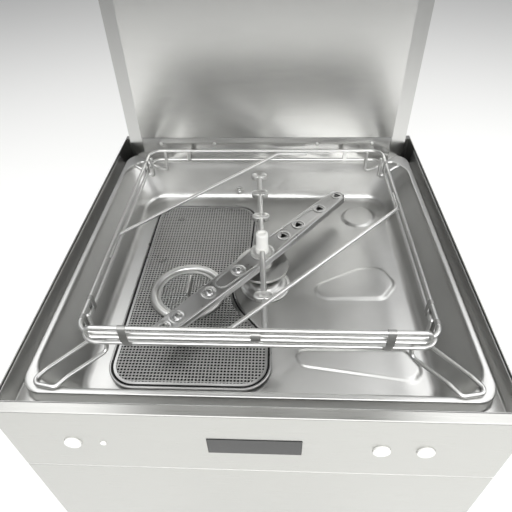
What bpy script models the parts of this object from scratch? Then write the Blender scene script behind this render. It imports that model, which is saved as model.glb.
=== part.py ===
"""Pass-through glass washer with its hood raised, as separate named solids. Metres, +Z up, front at -Y."""
import math

import bpy
import bmesh
from mathutils import Matrix, Vector

# Driving sizes
WIDTH = 0.642
DEPTH = 0.690
RACK_Z = 0.850
RACK_HALF = 0.240
WIRE_R = 0.003
RING_DROP = 0.021
TANK_DROP = 0.123
RIM_DROP = 0.021
SHEET = 0.0015
HOOD_LIFT = 0.485
HOOD_HEIGHT = 0.540
HOOD_SEAT_DROP = 0.045
CABINET_BOTTOM = 0.120
ARM_HALF = 0.247
RINSE_HALF = 0.2355
ARM_ANGLE = math.radians(50.2)
RINSE_ANGLE = math.radians(93.5)
UPPER_ARM_RISE = 0.440
GAP = 0.0004

RIM_CLEAR = 0.0022
GUTTER = 0.0255
WALL_SETBACK = 0.083
TANK_SETBACK = 0.045
HOOD_INSET = 0.009
PANEL_LAP = 0.015
BOWL_DRAFT = 0.0275
REAR_GROWTH = 0.055

# Places that follow from them
HALF_W = WIDTH / 2
HALF_D = DEPTH / 2
TANK_HALF_X = HALF_W - GUTTER
TANK_FRONT = TANK_SETBACK - HALF_D
TANK_BACK = HALF_D - WALL_SETBACK
HOOD_HALF_X = HALF_W - HOOD_INSET
HOOD_FRONT = 0.0235 - HALF_D
HOOD_BACK = HALF_D - 0.0465
RIM_X = HALF_W - RIM_CLEAR
RAIL_IN = HALF_W - 0.0595
RAIL_OUT = RAIL_IN + 0.040
SPRING_X = RAIL_IN + 0.020
WALL_X = HALF_W - 0.059
COLUMN_X = RAIL_IN - 0.0265
LAP = HALF_D - PANEL_LAP
RAIL_Y = HALF_D - 0.046
HOOD_BOTTOM = RACK_Z - HOOD_SEAT_DROP + HOOD_LIFT
HOOD_TOP = HOOD_BOTTOM + HOOD_HEIGHT
REAR = HALF_D + REAR_GROWTH

for old in list(bpy.data.objects):
    bpy.data.objects.remove(old, do_unlink=True)

machine = bpy.data.collections.new("glass_washer")
helpers = bpy.data.collections.new("helpers")
for made in (machine, helpers):
    bpy.context.scene.collection.children.link(made)
helpers.hide_render = True


def material(name, color, metallic, roughness, alpha=1.0):
    made = bpy.data.materials.new(name)
    made.use_nodes = True
    shader = made.node_tree.nodes["Principled BSDF"]
    shader.inputs["Base Color"].default_value = (*color, 1.0)
    shader.inputs["Metallic"].default_value = metallic
    shader.inputs["Roughness"].default_value = roughness
    shader.inputs["Alpha"].default_value = alpha
    return made


STEEL = (0.62, 0.62, 0.61), 1.0, 0.32
BRIGHT = (0.72, 0.72, 0.72), 1.0, 0.18
WHITE = (0.86, 0.86, 0.84), 0.0, 0.45
BLACK = (0.03, 0.03, 0.03), 0.0, 0.55
GREY = (0.30, 0.31, 0.32), 0.0, 0.5
RUBBER = (0.02, 0.02, 0.02), 0.0, 0.8
PAINT = (0.16, 0.19, 0.24), 0.0, 0.4


def add(name, mesh, look=None, place=machine):
    obj = bpy.data.objects.new(name, mesh)
    place.objects.link(obj)
    if look:
        mesh.materials.append(material(name, *look))
    return obj


def box_mesh(low, high):
    mesh = bpy.data.meshes.new("box")
    bm = bmesh.new()
    bmesh.ops.create_cube(bm, size=1.0)
    for vert in bm.verts:
        for i in range(3):
            vert.co[i] = low[i] if vert.co[i] < 0 else high[i]
    bm.to_mesh(mesh)
    bm.free()
    return mesh


def rod_mesh(start, end, radius, sides=24, end_radius=None):
    start, end = Vector(start), Vector(end)
    mesh = bpy.data.meshes.new("rod")
    bm = bmesh.new()
    bmesh.ops.create_cone(
        bm, cap_ends=True, segments=sides, radius1=radius,
        radius2=radius if end_radius is None else end_radius, depth=(end - start).length,
    )
    turn = (end - start).to_track_quat("Z", "Y").to_matrix().to_4x4()
    turn.translation = (start + end) / 2
    bm.transform(turn)
    bm.to_mesh(mesh)
    bm.free()
    return mesh


def loft_mesh(rings):
    """Closed body through rings of equal length, bottom ring first, each counter-clockwise from above."""
    mesh = bpy.data.meshes.new("loft")
    count = len(rings[0])
    faces = [tuple(reversed(range(count)))]
    for level in range(len(rings) - 1):
        a, b = level * count, (level + 1) * count
        for i in range(count):
            j = (i + 1) % count
            faces.append((a + i, a + j, b + j, b + i))
    top = (len(rings) - 1) * count
    faces.append(tuple(range(top, top + count)))
    mesh.from_pydata([p for ring in rings for p in ring], [], faces)
    return mesh


def plate_mesh(outline, low, high):
    return loft_mesh([[(x, y, z) for x, y in outline] for z in (low, high)])


def rounded(points, radius, steps=4, closed=True):
    """Path with each corner replaced by an arc of this radius."""
    points = [Vector(p) for p in points]
    count = len(points)
    path = []
    for i, corner in enumerate(points):
        if not closed and i in (0, count - 1):
            path.append(corner)
            continue
        before = (points[i - 1] - corner).normalized()
        after = (points[(i + 1) % count] - corner).normalized()
        half = before.angle(after) / 2
        reach = radius / math.tan(half)
        centre = corner + (before + after).normalized() * (radius / math.sin(half))
        start, end = corner + before * reach - centre, corner + after * reach - centre
        for k in range(steps + 1):
            t = k / steps
            swing = start.angle(end)
            share = math.sin((1 - t) * swing) / math.sin(swing), math.sin(t * swing) / math.sin(swing)
            path.append(centre + start * share[0] + end * share[1])
    return path


def rectangle(half_x, front, back, radius, steps=4):
    corners = [(half_x, front, 0), (half_x, back, 0), (-half_x, back, 0), (-half_x, front, 0)]
    return [(p.x, p.y) for p in rounded(corners, radius, steps)]


def wire_mesh(points, radius, closed=False, resolution=2):
    curve = bpy.data.curves.new("wire", "CURVE")
    curve.dimensions = "3D"
    curve.bevel_depth = radius
    curve.bevel_resolution = resolution
    curve.use_fill_caps = True
    spline = curve.splines.new("POLY")
    spline.points.add(len(points) - 1)
    for point, place in zip(spline.points, points):
        point.co = (*place, 1.0)
    spline.use_cyclic_u = closed
    obj = bpy.data.objects.new("wire", curve)
    bpy.context.scene.collection.objects.link(obj)
    bpy.context.view_layer.update()
    mesh = bpy.data.meshes.new_from_object(obj.evaluated_get(bpy.context.evaluated_depsgraph_get()))
    bpy.data.objects.remove(obj, do_unlink=True)
    bm = bmesh.new()
    bm.from_mesh(mesh)
    bmesh.ops.remove_doubles(bm, verts=bm.verts, dist=1e-6)
    bmesh.ops.recalc_face_normals(bm, faces=bm.faces)
    bm.to_mesh(mesh)
    bm.free()
    return mesh


def combine(obj, mesh, operation):
    tool = add(f"{obj.name}_{operation.lower()}_{len(obj.modifiers)}", mesh, place=helpers)
    tool.hide_render = True
    tool.display_type = "WIRE"
    cut = obj.modifiers.new(operation.title(), "BOOLEAN")
    cut.operation = operation
    cut.solver = "EXACT"
    cut.object = tool


def join(obj, *meshes):
    for mesh in meshes:
        combine(obj, mesh, "UNION")


def cut(obj, *meshes):
    for mesh in meshes:
        combine(obj, mesh, "DIFFERENCE")


def box(name, low, high, look, bevel=0.0):
    obj = add(name, box_mesh(low, high), look)
    if bevel:
        soften(obj, bevel)
    return obj


def soften(obj, width, segments=2):
    edge = obj.modifiers.new("Edges", "BEVEL")
    edge.width = width
    edge.segments = segments
    edge.limit_method = "ANGLE"
    edge.angle_limit = math.radians(50)


def rod(name, start, end, radius, look, sides=24):
    return add(name, rod_mesh(start, end, radius, sides), look)


def at(rise):
    return RACK_Z + rise


# ---------------------------------------------------------------- cabinet
BASE_X, BASE_Y = HALF_W - 0.009, LAP - 0.0025
chassis = box("chassis", (-BASE_X, -BASE_Y, CABINET_BOTTOM), (BASE_X, BASE_Y, 0.150), STEEL)
cut(chassis, box_mesh(
    (0.002 - BASE_X, 0.002 - BASE_Y, CABINET_BOTTOM + 0.002), (BASE_X - 0.002, BASE_Y - 0.002, 0.160)))
for x in (0.015 - BASE_X, BASE_X - 0.015):
    for y, top in ((0.015 - BASE_Y, 0.780), (BASE_Y - 0.015, 0.690)):
        join(chassis, box_mesh((x - 0.0125, y - 0.0125, CABINET_BOTTOM + 0.001), (x + 0.0125, y + 0.0125, top)))

FOOT_X, FOOT_Y = HALF_W - 0.051, HALF_D - 0.060
for end, y in (("front", -FOOT_Y), ("rear", FOOT_Y)):
    for side, x in (("left", -FOOT_X), ("right", FOOT_X)):
        foot = rod(f"foot_{end}_{side}", (x, y, 0), (x, y, 0.014), 0.026, BLACK)
        join(foot, rod_mesh((x, y, 0.010), (x, y, 0.060), 0.020), rod_mesh((x, y, 0.050), (x, y, 0.1196), 0.009, 16))

for side, sign in (("left", -1), ("right", 1)):
    edges = sorted((sign * HALF_W, sign * (HALF_W - SHEET)))
    panel = box(f"{side}_panel", (edges[0], GAP - LAP, 0.150), (edges[1], LAP - GAP, at(-RIM_DROP)), STEEL)
    low, high = sorted((sign * HALF_W, sign * (HALF_W - 0.006)))
    join(panel, box_mesh((low, GAP - LAP, 0.1502), (high, LAP - GAP, 0.152)))

front_panel = box("front_panel", (-HALF_W, -HALF_D, 0.130), (HALF_W, -LAP, 0.6855), STEEL, 0.0015)
cut(front_panel, box_mesh(
    (-HALF_W + SHEET, -HALF_D + SHEET, 0.130 + SHEET), (HALF_W - SHEET, 0.001 - LAP, 0.6855 - SHEET)))
fascia = box("control_fascia", (-HALF_W, -HALF_D, 0.6870), (HALF_W, -LAP, at(-RIM_DROP)), STEEL, 0.0015)
cut(fascia, box_mesh(
    (-HALF_W + SHEET, -HALF_D + SHEET, 0.6870 + SHEET), (HALF_W - SHEET, 0.001 - LAP, at(-RIM_DROP) - SHEET)))
rear_panel = box("rear_panel", (-HALF_W, LAP, 0.150), (HALF_W, HALF_D, at(-RIM_DROP)), STEEL)
cut(rear_panel, box_mesh(
    (-HALF_W + SHEET, LAP - 0.001, 0.150 + SHEET), (HALF_W - SHEET, HALF_D - SHEET, at(-RIM_DROP) - SHEET)))

# ---------------------------------------------------------------- controls
PANEL_Z = 0.757
BUTTONS = (("power_button", -0.235), ("start_button", 0.215), ("drain_button", 0.160))
BUTTON_R = 0.0110
for name, x in BUTTONS:
    cut(fascia, rod_mesh((x, -HALF_D - 0.01, PANEL_Z), (x, -HALF_D + 0.005, PANEL_Z), BUTTON_R + 0.0005))
    button = rod(name, (x, -HALF_D - 0.0035, PANEL_Z), (x, -HALF_D + 0.008, PANEL_Z), BUTTON_R, WHITE)
    soften(button, 0.0008, 1)
cut(fascia, box_mesh((-0.0605, -HALF_D - 0.01, PANEL_Z - 0.0185), (0.0605, -HALF_D + 0.005, PANEL_Z + 0.0185)))
display = box(
    "display_window", (-0.060, -HALF_D - 0.0008, PANEL_Z - 0.018), (0.060, -HALF_D + 0.004, PANEL_Z + 0.018), BLACK)
LAMP_X = -0.195
cut(fascia, rod_mesh((LAMP_X, -HALF_D - 0.01, PANEL_Z), (LAMP_X, -HALF_D + 0.005, PANEL_Z), 0.0044))
rod("indicator_lamp", (LAMP_X, -HALF_D - 0.0015, PANEL_Z), (LAMP_X, -HALF_D + 0.006, PANEL_Z), 0.004, WHITE, 16)
box("control_board", (-0.140, 0.0095 - HALF_D, 0.715), (0.140, 0.0115 - HALF_D, 0.800), PAINT)

# ---------------------------------------------------------------- wash tank
SUMP = (-0.131, -0.055)
RIM_FRONT = LAP - 0.001
RIM_BACK = HALF_D - 0.048
tank = box("wash_tank", (-RIM_X, -RIM_FRONT, at(-0.062)), (RIM_X, RIM_BACK, at(-0.0235)), STEEL)
cut(tank, box_mesh(
    (SHEET - RIM_X, SHEET - RIM_FRONT, at(-0.060)), (RIM_X - SHEET, RIM_BACK + 0.013, at(0.01))))
RIDGE = 0.0095
join(tank, plate_mesh(
    rectangle(TANK_HALF_X + RIDGE, TANK_FRONT - RIDGE, TANK_BACK + 0.027, 0.030), at(-0.0615), at(-0.036)))


def bowl(grow, low, high):
    """Tank bowl: floor, rounded foot, drafted wall. Grow is the sheet's thickness for the outer face."""
    foot, front = TANK_HALF_X - BOWL_DRAFT, TANK_FRONT
    levels = (
        (foot - 0.016, front + 0.031, TANK_BACK - 0.0310, 0.034, low),
        (foot - 0.0055, front + 0.021, TANK_BACK - 0.0200, 0.044, at(-TANK_DROP) + 0.0035 - grow),
        (foot, front + 0.016, TANK_BACK - 0.0145, 0.049, at(-TANK_DROP) + 0.012),
        (TANK_HALF_X, TANK_FRONT, TANK_BACK, 0.050, at(-0.040)),
        (TANK_HALF_X, TANK_FRONT, TANK_BACK, 0.050, high),
    )
    return loft_mesh([
        [(x, y, z) for x, y in rectangle(half + grow, near - grow, back + grow, radius + grow)]
        for half, near, back, radius, z in levels
    ])


join(tank, bowl(0.0015, at(-TANK_DROP) - 0.0015, at(-0.0385)))
SUMP_R, SUMP_Z = 0.0610, at(-TANK_DROP) - 0.067
join(tank, rod_mesh((*SUMP, SUMP_Z), (*SUMP, at(-TANK_DROP - 0.001)), SUMP_R + SHEET, 32))
cut(tank, bowl(0.0, at(-TANK_DROP), at(0.03)),
    rod_mesh((*SUMP, SUMP_Z + SHEET), (*SUMP, at(-TANK_DROP) + 0.023), SUMP_R, 32))
join(tank, box_mesh(
    (0.002 - WALL_X, TANK_BACK + 0.0002, at(-0.050)), (WALL_X - 0.002, TANK_BACK + 0.0017, at(0.018))))
SUCTION = (SUMP[0] + 0.040, SUMP[1] + 0.010)
cut(tank, rod_mesh((*SUCTION, SUMP_Z - 0.010), (*SUCTION, SUMP_Z + 0.010), 0.0140))

rear_wall = box("rear_wall", (-WALL_X, TANK_BACK, at(0.0185)), (WALL_X, TANK_BACK + SHEET, at(0.480)), STEEL)
FLANGE_Y = HALF_D - 0.0502
for sign in (-1, 1):
    join(rear_wall, plate_mesh(
        [(sign * (WALL_X + x), y) for x, y in (
            (-0.0015, TANK_BACK), (-0.0005, TANK_BACK), (0.037, FLANGE_Y), (0.035, FLANGE_Y))][::sign],
        at(-0.0355), at(0.480)))

COLUMN_Y = RAIL_Y + 0.0015
column = box("rear_column", (-COLUMN_X, COLUMN_Y, at(-0.0195)), (COLUMN_X, REAR, at(0.620)), STEEL)
cut(column, box_mesh(
    (SHEET - COLUMN_X, COLUMN_Y + SHEET, at(-0.03)), (COLUMN_X - SHEET, REAR - SHEET, at(0.620) - SHEET)))

PIPE_X, PIPE_Y, PIPE_R = 0.060, HALF_D + 0.027, 0.014
MANIFOLD_RISE = 0.467
cut(rear_wall, rod_mesh(
    (0, TANK_BACK - 0.012, at(MANIFOLD_RISE)), (0, TANK_BACK + 0.018, at(MANIFOLD_RISE)), 0.0118))
cut(column, rod_mesh(
    (0, COLUMN_Y - 0.010, at(MANIFOLD_RISE)), (0, COLUMN_Y + 0.010, at(MANIFOLD_RISE)), 0.0118))
cut(rear_panel, rod_mesh(
    (PIPE_X, LAP - 0.010, 0.400), (PIPE_X, HALF_D + 0.015, 0.400), PIPE_R + 0.002))

# ---------------------------------------------------------------- filters
def arc(centre, radius, start, end, steps):
    turns = [math.radians(start + (end - start) * k / steps) for k in range(steps + 1)]
    return [(centre[0] + radius * math.cos(t), centre[1] + radius * math.sin(t)) for t in turns]


FILTER_Z = at(-TANK_DROP) + 0.005
outline = (
    arc((-0.186, -0.205), 0.045, 180, 270, 4)
    + arc((-0.025, -0.205), 0.045, 270, 360, 4)
    + [(0.020, -0.160), (0.004, -0.130)]
    + arc((0.065, -0.031), 0.114, 225, 135, 8)
    + [(-0.015, 0.060)]
    + arc((-0.060, 0.162), 0.045, 0, 90, 4)
    + arc((-0.186, 0.162), 0.045, 90, 180, 4)
)
BASKET_R = SUMP_R - 0.003
filter_tray = add("filter_tray", plate_mesh(outline, FILTER_Z, FILTER_Z + 0.002), STEEL)
cut(filter_tray, rod_mesh((*SUMP, FILTER_Z - 0.01), (*SUMP, FILTER_Z + 0.01), BASKET_R + 0.0020, 32))

basket = rod("round_filter", (*SUMP, FILTER_Z - 0.042), (*SUMP, FILTER_Z + 0.0040), BASKET_R, STEEL, 32)
join(basket, rod_mesh((*SUMP, FILTER_Z + 0.0024), (*SUMP, FILTER_Z + 0.0080), BASKET_R + 0.009, 32))
cut(basket, rod_mesh((*SUMP, FILTER_Z - 0.050), (*SUMP, FILTER_Z - 0.0005), BASKET_R - 0.001, 32),
    rod_mesh((*SUMP, FILTER_Z + 0.0010), (*SUMP, FILTER_Z + 0.018), BASKET_R - 0.004, 32))
join(basket, box_mesh(
    (SUMP[0] - 0.0012, SUMP[1] - 0.010, FILTER_Z), (SUMP[0] + 0.0012, SUMP[1] + 0.037, FILTER_Z + 0.0090)))

# ---------------------------------------------------------------- pillar and arms
BASE = (0.006, -0.028)
pillar = rod("arm_pillar", (*BASE, at(-TANK_DROP) + GAP), (*BASE, at(-0.108)), 0.045, STEEL, 32)
join(
    pillar,
    rod_mesh((0, 0, at(-TANK_DROP) + GAP), (0, 0, at(-0.095)), 0.024),
    rod_mesh((0, 0, at(-0.101)), (0, 0, at(-0.094)), 0.048, 32),
    rod_mesh((0, 0, at(-0.096)), (0, 0, at(-0.0825)), 0.018),
    rod_mesh((0, 0, at(-0.084)), (0, 0, at(-0.030)), 0.005, 16),
)


def turned(points, angle):
    c, s = math.cos(angle), math.sin(angle)
    return [(x * c - y * s, x * s + y * c) for x, y in points]


ARM_OUTLINE = (
    arc((ARM_HALF - 0.0165, 0), 0.0165, -90, 90, 6)
    + [(0.035, 0.0225), (-0.035, 0.0225)]
    + arc((-ARM_HALF + 0.0165, 0), 0.0165, 90, 270, 6)
    + [(-0.035, -0.0225), (0.035, -0.0225)]
)
SPOTS = (0.060, 0.104, ARM_HALF - 0.076, ARM_HALF - 0.015, -0.062, -0.131, 0.0475 - ARM_HALF, 0.021 - ARM_HALF)
SHORT_HALF = RINSE_HALF - 0.0345
CLIPS = (0.0915, RINSE_HALF - 0.066, RINSE_HALF, -0.117, -SHORT_HALF)


def wash_arm(name, flip, hub_z):
    """Hollow pressed arm: flip +1 sprays up, -1 sprays down. Hub_z is its sprayed face."""
    shape = turned(ARM_OUTLINE, ARM_ANGLE)
    low, high = sorted((hub_z, hub_z - flip * 0.012))
    arm = add(name, plate_mesh(shape, low, high), STEEL)
    below, above = (0.002, 0.0012) if flip > 0 else (0.0012, 0.002)
    join(arm, rod_mesh((0, 0, low - below), (0, 0, high + above), 0.021))
    cut(arm, rod_mesh((0, 0, low - 0.01), (0, 0, high + 0.01), 0.0055, 16))
    for reach in SPOTS:
        x, y = turned([(reach, 0)], ARM_ANGLE)[0]
        cut(arm, rod_mesh((x, y, hub_z + flip * 0.003), (x, y, hub_z - flip * 0.003), 0.0070, 12))
    return arm


def rinse_arm(name, flip, z):
    """Thin tube with clip nozzles, its front end the shorter, so that the nozzles sweep different rings; flip as for the wash arm."""
    ends = [(*turned([(reach, 0)], RINSE_ANGLE)[0], z) for reach in (-SHORT_HALF - 0.002, RINSE_HALF + 0.002)]
    arm = add(name, rod_mesh(ends[0], ends[1], 0.005, 12), STEEL)
    join(arm, rod_mesh((0, 0, z - 0.0055), (0, 0, z + 0.0055), 0.011, 20))
    cut(arm, rod_mesh((0, 0, z - 0.01), (0, 0, z + 0.01), 0.0055, 16))
    for spot in CLIPS:
        x, y = turned([(spot, 0)], RINSE_ANGLE)[0]
        join(arm, rod_mesh((x, y, z - 0.0035), (x, y, z + 0.0035), 0.009, 12))
    return arm


wash_arm("lower_wash_arm", 1, at(-0.068))
rinse_arm("lower_rinse_arm", 1, at(-0.0595))
CAP_R = 0.0108
cap = rod("lower_cap_nut", (0, 0, at(-0.0535)), (0, 0, at(-0.024)), CAP_R, WHITE)
cut(cap, rod_mesh((0, 0, at(-0.06)), (0, 0, at(-0.0295)), 0.0055, 16))
soften(cap, 0.0015)

manifold = add("upper_manifold", wire_mesh(rounded([
    (0, 0, at(MANIFOLD_RISE)), (0, PIPE_Y, at(MANIFOLD_RISE)), (0, PIPE_Y, at(0.300)),
], 0.0200, 4, closed=False), 0.0112), STEEL)
join(manifold, rod_mesh((0, 0, at(0.4545)), (0, 0, at(0.4792)), 0.0180),
     rod_mesh((0, 0, at(0.398)), (0, 0, at(0.460)), 0.005, 16))
wash_arm("upper_wash_arm", -1, at(UPPER_ARM_RISE))
rinse_arm("upper_rinse_arm", -1, at(UPPER_ARM_RISE - 0.0085))
upper_cap = rod("upper_cap_nut", (0, 0, at(0.396)), (0, 0, at(UPPER_ARM_RISE - 0.0145)), CAP_R, WHITE)
cut(upper_cap, rod_mesh((0, 0, at(0.3975)), (0, 0, at(0.45)), 0.0055, 16))

PROBE = (-0.058, at(-0.1015))
PROBE_Y = TANK_BACK - 0.0158
probe = rod("tank_probe", (PROBE[0], PROBE_Y, PROBE[1]), (PROBE[0], PROBE_Y - 0.0072, PROBE[1]), 0.0075, BRIGHT, 6)
join(probe, rod_mesh((PROBE[0], PROBE_Y - 0.0062, PROBE[1]), (PROBE[0], PROBE_Y - 0.0172, PROBE[1]), 0.003, 12))

# ---------------------------------------------------------------- rack frame
def ring(half, z):
    corners = [(half, -half, z), (half, half, z), (-half, half, z), (-half, -half, z)]
    return wire_mesh(rounded(corners, 0.022, 4), WIRE_R, closed=True, resolution=1)


frame = add("rack_frame", ring(RACK_HALF, RACK_Z), BRIGHT)
join(frame, ring(RACK_HALF, at(-RING_DROP)))
STRAPS = (
    (0.067 - RACK_HALF, -1, 1), (RACK_HALF - 0.068, -1, 1), (0.080 - RACK_HALF, 1, 1), (RACK_HALF - 0.075, 1, 1),
    (0.035 - RACK_HALF, -1, 0), (0.035 - RACK_HALF, 1, 0), (RACK_HALF - 0.050, -1, 0), (RACK_HALF - 0.050, 1, 0),
)
for along, sign, facing in STRAPS:
    face = sign * RACK_HALF
    spans = [sorted((along - 0.005, along + 0.005)), sorted((face - 0.0008, face + 0.0008))]
    (x0, x1), (y0, y1) = spans if facing else spans[::-1]
    join(frame, box_mesh((x0, y0, at(-RING_DROP)), (x1, y1, RACK_Z)))

GUARD_X = RACK_HALF - 0.018
guard_y = -RACK_HALF - 2 * WIRE_R - GAP
guard = add("front_guard", wire_mesh(rounded([
    (-GUARD_X, guard_y, at(-0.0010)), (GUARD_X, guard_y, at(-0.0010)),
    (GUARD_X, guard_y, at(0.0180)), (-GUARD_X, guard_y, at(0.0180)),
], 0.0090, 4), WIRE_R, closed=True), BRIGHT)

low = at(-2 * WIRE_R - GAP)
EDGE = RACK_HALF - 0.001
for name, path in (
    ("diagonal_wire_left", [(-EDGE, -0.082), (-EDGE, -0.027), (0.027, EDGE), (0.086, EDGE)]),
    ("diagonal_wire_right", [(EDGE, 0.096), (EDGE, 0.050), (-0.050, -EDGE), (-0.105, -EDGE)]),
):
    add(name, wire_mesh(rounded([(x, y, low) for x, y in path], 0.012, 3, closed=False), WIRE_R), BRIGHT)

for end, sy in (("front", -1), ("rear", 1)):
    for side, sx in (("left", -1), ("right", 1)):
        inner = RACK_HALF - 2 * WIRE_R - 0.0005
        near, far = (RACK_HALF - 0.031, inner), (inner, RACK_HALF - 0.031)
        if end == "front":
            tip_a, tip_b = (TANK_HALF_X - 0.0400, 0.003 - TANK_FRONT), (TANK_HALF_X - 0.0055, -TANK_FRONT - 0.003)
        else:
            tip_a, tip_b = (TANK_HALF_X - 0.0275, TANK_BACK - 0.012), (TANK_HALF_X - 0.0115, TANK_BACK - 0.026)
        hook = at(-0.0356) + WIRE_R
        over_a, over_b = ([start[i] * 0.25 + tip[i] * 0.75 for i in (0, 1)] for start, tip in ((near, tip_a), (far, tip_b)))
        path = [(*near, at(-0.0005)), (*near, at(-0.046)), (*over_a, hook), (*tip_a, hook),
                (*tip_b, hook), (*over_b, hook), (*far, at(-0.046)), (*far, at(-0.0005))]
        add(f"corner_leg_{end}_{side}", wire_mesh(rounded(
            [(sx * x, sy * y, z) for x, y, z in path], 0.007, 3, closed=False), WIRE_R), BRIGHT)

# ---------------------------------------------------------------- hood and its guides
def hood_body(inset, low):
    """Rounded block for the hood's outer face, or its inner one when inset is the sheet's thickness."""
    crown = 0.0135 - inset
    top = HOOD_TOP - inset
    levels = ((low, 0.0), (top - crown, 0.0), (top - 0.3 * crown, 0.3 * crown), (top, crown))
    return loft_mesh([
        [(x, y, z) for x, y in rectangle(
            HOOD_HALF_X - inset - pull, HOOD_FRONT + inset + pull, HOOD_BACK + 0.06 - pull, 0.0145 - inset)]
        for z, pull in levels
    ])


hood = add("hood", hood_body(0.0, HOOD_BOTTOM), STEEL)
cut(hood, hood_body(SHEET, HOOD_BOTTOM - 0.05),
    box_mesh((-WIDTH, HOOD_BACK, HOOD_BOTTOM - 0.07), (WIDTH, HOOD_BACK + 0.1, HOOD_TOP + 0.05)))

HANDLE_X, HANDLE_Z = HOOD_HALF_X - 0.022, HOOD_BOTTOM + 0.055
handle = add("hood_handle", wire_mesh(rounded([
    (-HANDLE_X, HOOD_FRONT - 0.0005, HANDLE_Z), (-HANDLE_X, 0.011 - REAR, HANDLE_Z),
    (HANDLE_X, 0.011 - REAR, HANDLE_Z), (HANDLE_X, HOOD_FRONT - 0.0005, HANDLE_Z),
], 0.030, 5, closed=False), 0.011), BRIGHT)

SPRING_Y = RAIL_Y + 0.016
AXLE_Y = RAIL_Y + 0.018
ROLLER_R, ROLLER_RISE = 0.0100, 0.400
for side, sign in (("left", -1), ("right", 1)):
    def span(a, b):
        return sorted((sign * a, sign * b))

    x0, x1 = span(RAIL_IN, RAIL_OUT)
    rail = box(f"hood_rail_{side}", (x0, RAIL_Y, HOOD_BOTTOM - 0.100), (x1, RAIL_Y + 0.030, HOOD_TOP - 0.030), STEEL)
    a, b = span(RAIL_IN + 0.002, RAIL_OUT - 0.002)
    cut(rail, box_mesh((a, RAIL_Y + 0.002, HOOD_BOTTOM - 0.098), (b, RAIL_Y + 0.041, HOOD_TOP)))
    bracket_x0, bracket_x1 = span(COLUMN_X + GAP, RAIL_IN - 0.0011)
    plate_y = RAIL_Y + 0.030 + GAP
    bracket = box(
        f"guide_bracket_{side}", (bracket_x0, plate_y, at(0.370)), (bracket_x1, plate_y + 0.0026, at(0.612)), STEEL)
    a, b = span(COLUMN_X + GAP, SPRING_X + 0.0055)
    roller = (sign * (RAIL_IN - GAP - ROLLER_R), at(ROLLER_RISE))
    join(
        bracket,
        box_mesh((a, plate_y, at(0.596)), (b, plate_y + 0.0026, at(0.612))),
        box_mesh(
            (sign * SPRING_X - 0.004, SPRING_Y - 0.004, at(0.602)),
            (sign * SPRING_X + 0.004, plate_y + 0.0006, at(0.608))),
        rod_mesh((roller[0], AXLE_Y - 0.012, roller[1]), (roller[0], plate_y + 0.0006, roller[1]), 0.0030, 12),
    )
    wheel = rod(
        f"guide_roller_{side}", (roller[0], AXLE_Y - 0.011, roller[1]), (roller[0], AXLE_Y + 0.011, roller[1]),
        ROLLER_R, WHITE)
    cut(wheel, rod_mesh((roller[0], AXLE_Y - 0.017, roller[1]), (roller[0], AXLE_Y + 0.023, roller[1]), 0.0034, 12))
    low_z, high_z, turns, per_turn = HOOD_BOTTOM - 0.0975, at(0.6015), 12, 8
    coil = [
        (sign * SPRING_X + 0.0075 * math.cos(2 * math.pi * k / per_turn),
         SPRING_Y + 0.0075 * math.sin(2 * math.pi * k / per_turn),
         low_z + 0.0015 + (high_z - low_z - 0.003) * k / (turns * per_turn))
        for k in range(turns * per_turn + 1)
    ]
    add(f"hood_spring_{side}", wire_mesh(coil, 0.0010, resolution=0), BRIGHT)

# ---------------------------------------------------------------- machinery in the cabinet
PUMP = (0.110, 0.020, 0.330)
motor = rod("wash_pump_motor", (PUMP[0], PUMP[1] - 0.170, PUMP[2]), (PUMP[0], PUMP[1] - 0.0305, PUMP[2]), 0.062, PAINT, 28)
join(motor, rod_mesh((PUMP[0], PUMP[1] - 0.185, PUMP[2]), (PUMP[0], PUMP[1] - 0.169, PUMP[2]), 0.056, 28),
     rod_mesh((PUMP[0], PUMP[1] - 0.031, PUMP[2]), (PUMP[0], PUMP[1] + 0.012, PUMP[2]), 0.006, 12),
     box_mesh((PUMP[0] - 0.050, PUMP[1] - 0.150, 0.1225), (PUMP[0] + 0.050, PUMP[1] - 0.060, PUMP[2] - 0.040)))
volute = rod("wash_pump_volute", (PUMP[0], PUMP[1] - 0.0300, PUMP[2]), (PUMP[0], PUMP[1] + 0.0350, PUMP[2]), 0.072, BLACK, 28)
cut(volute, rod_mesh((PUMP[0], PUMP[1] - 0.0260, PUMP[2]), (PUMP[0], PUMP[1] + 0.0310, PUMP[2]), 0.064, 28),
    rod_mesh((PUMP[0], PUMP[1] - 0.04, PUMP[2]), (PUMP[0], PUMP[1] - 0.02, PUMP[2]), 0.0075, 16))
cut(volute, rod_mesh((PUMP[0], PUMP[1] + 0.02, PUMP[2]), (PUMP[0], PUMP[1] + 0.05, PUMP[2]), 0.0150, 16),
    rod_mesh((PUMP[0], PUMP[1] + 0.002, PUMP[2] + 0.05), (PUMP[0], PUMP[1] + 0.002, PUMP[2] + 0.09), 0.0150, 16))
impeller = rod("pump_impeller", (PUMP[0], PUMP[1] - 0.0180, PUMP[2]), (PUMP[0], PUMP[1] - 0.0130, PUMP[2]), 0.055, WHITE)
for k in range(5):
    swing = 2 * math.pi * k / 5
    blade = box_mesh((0.012, -0.002, -0.0180), (0.050, 0.002, 0.010))
    for vert in blade.vertices:
        x, y, z = vert.co
        vert.co = (PUMP[0] + x * math.cos(swing) - y * math.sin(swing), PUMP[1] + z + 0.004,
                   PUMP[2] + x * math.sin(swing) + y * math.cos(swing))
    blade.flip_normals()
    join(impeller, blade)
join(impeller, rod_mesh((PUMP[0], PUMP[1] - 0.0180, PUMP[2]), (PUMP[0], PUMP[1] + 0.010, PUMP[2]), 0.016, 16))
cut(impeller, rod_mesh((PUMP[0], PUMP[1] - 0.03, PUMP[2]), (PUMP[0], PUMP[1] + 0.03, PUMP[2]), 0.0066, 12))

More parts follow.
